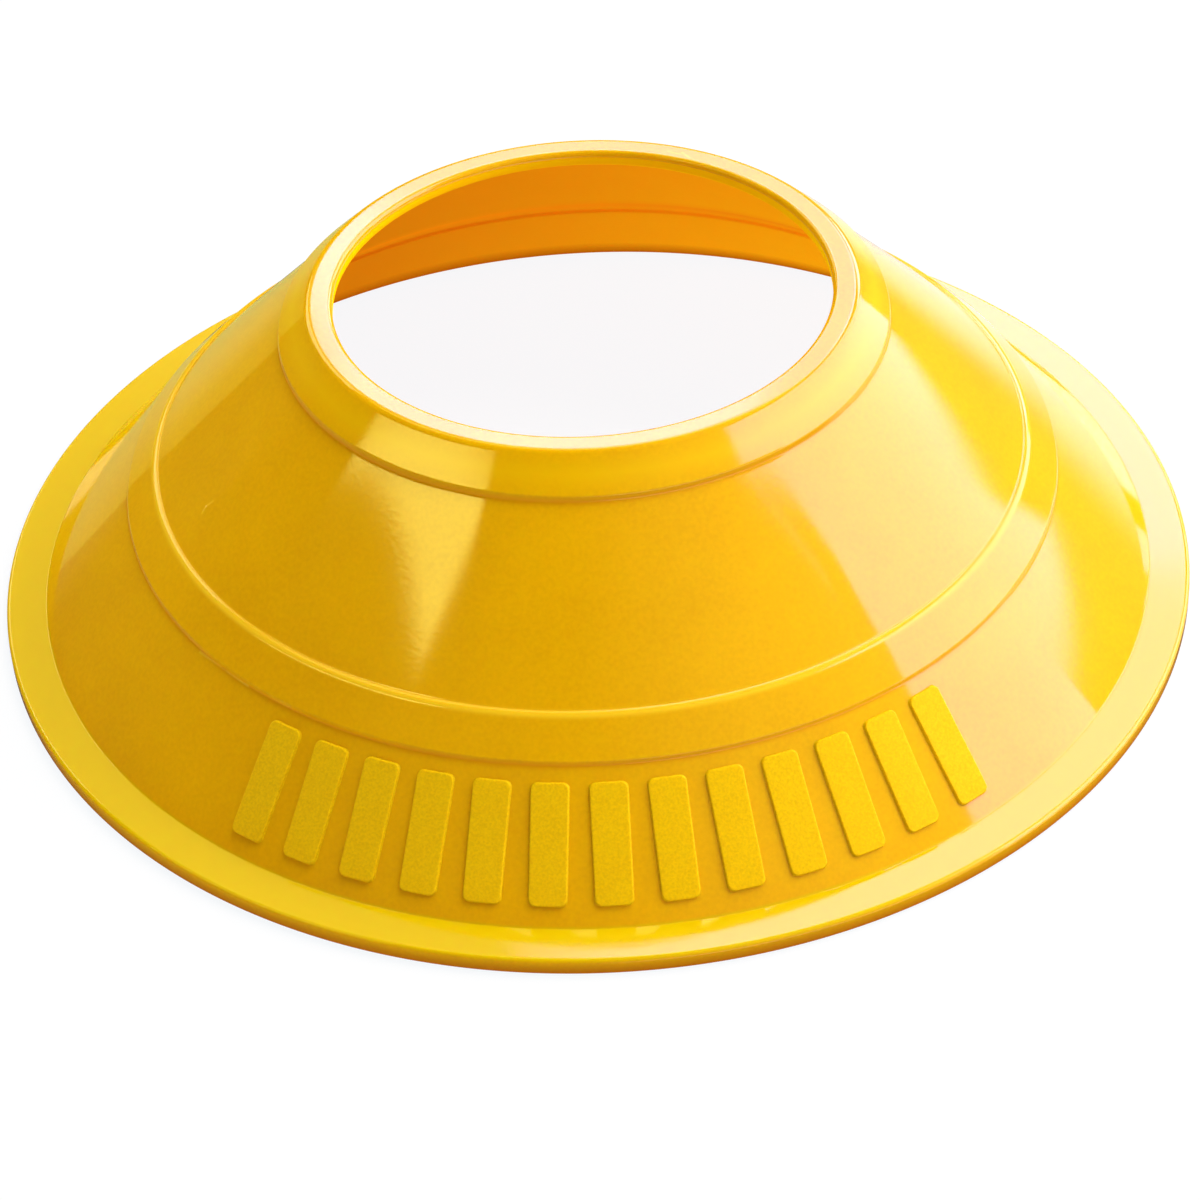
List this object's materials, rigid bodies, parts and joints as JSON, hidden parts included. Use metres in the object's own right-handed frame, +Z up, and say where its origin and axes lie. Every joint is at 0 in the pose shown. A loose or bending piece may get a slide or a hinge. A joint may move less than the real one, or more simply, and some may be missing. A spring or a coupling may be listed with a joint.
{
  "type": "marker cone",
  "caption": "Low hollow marker cone of moulded plastic with a flat rim, a stepped wall, a wide round top opening and raised bars; it marks out a playing field and nests in a stack.",
  "frame": {"origin": "on the ground, under the centre of the top opening", "axes": "+Z up along the cone's axis; the middle raised bar faces -Y"},
  "size_m": [0.19, 0.19, 0.0527],
  "materials": {
    "shell_plastic": "glossy moulded yellow",
    "bar_plastic": "frosted moulded yellow"
  },
  "bodies": {
    "root": {"cone_shell": "shell_plastic", "raised_bars": "bar_plastic"}
  },
  "joints": []
}
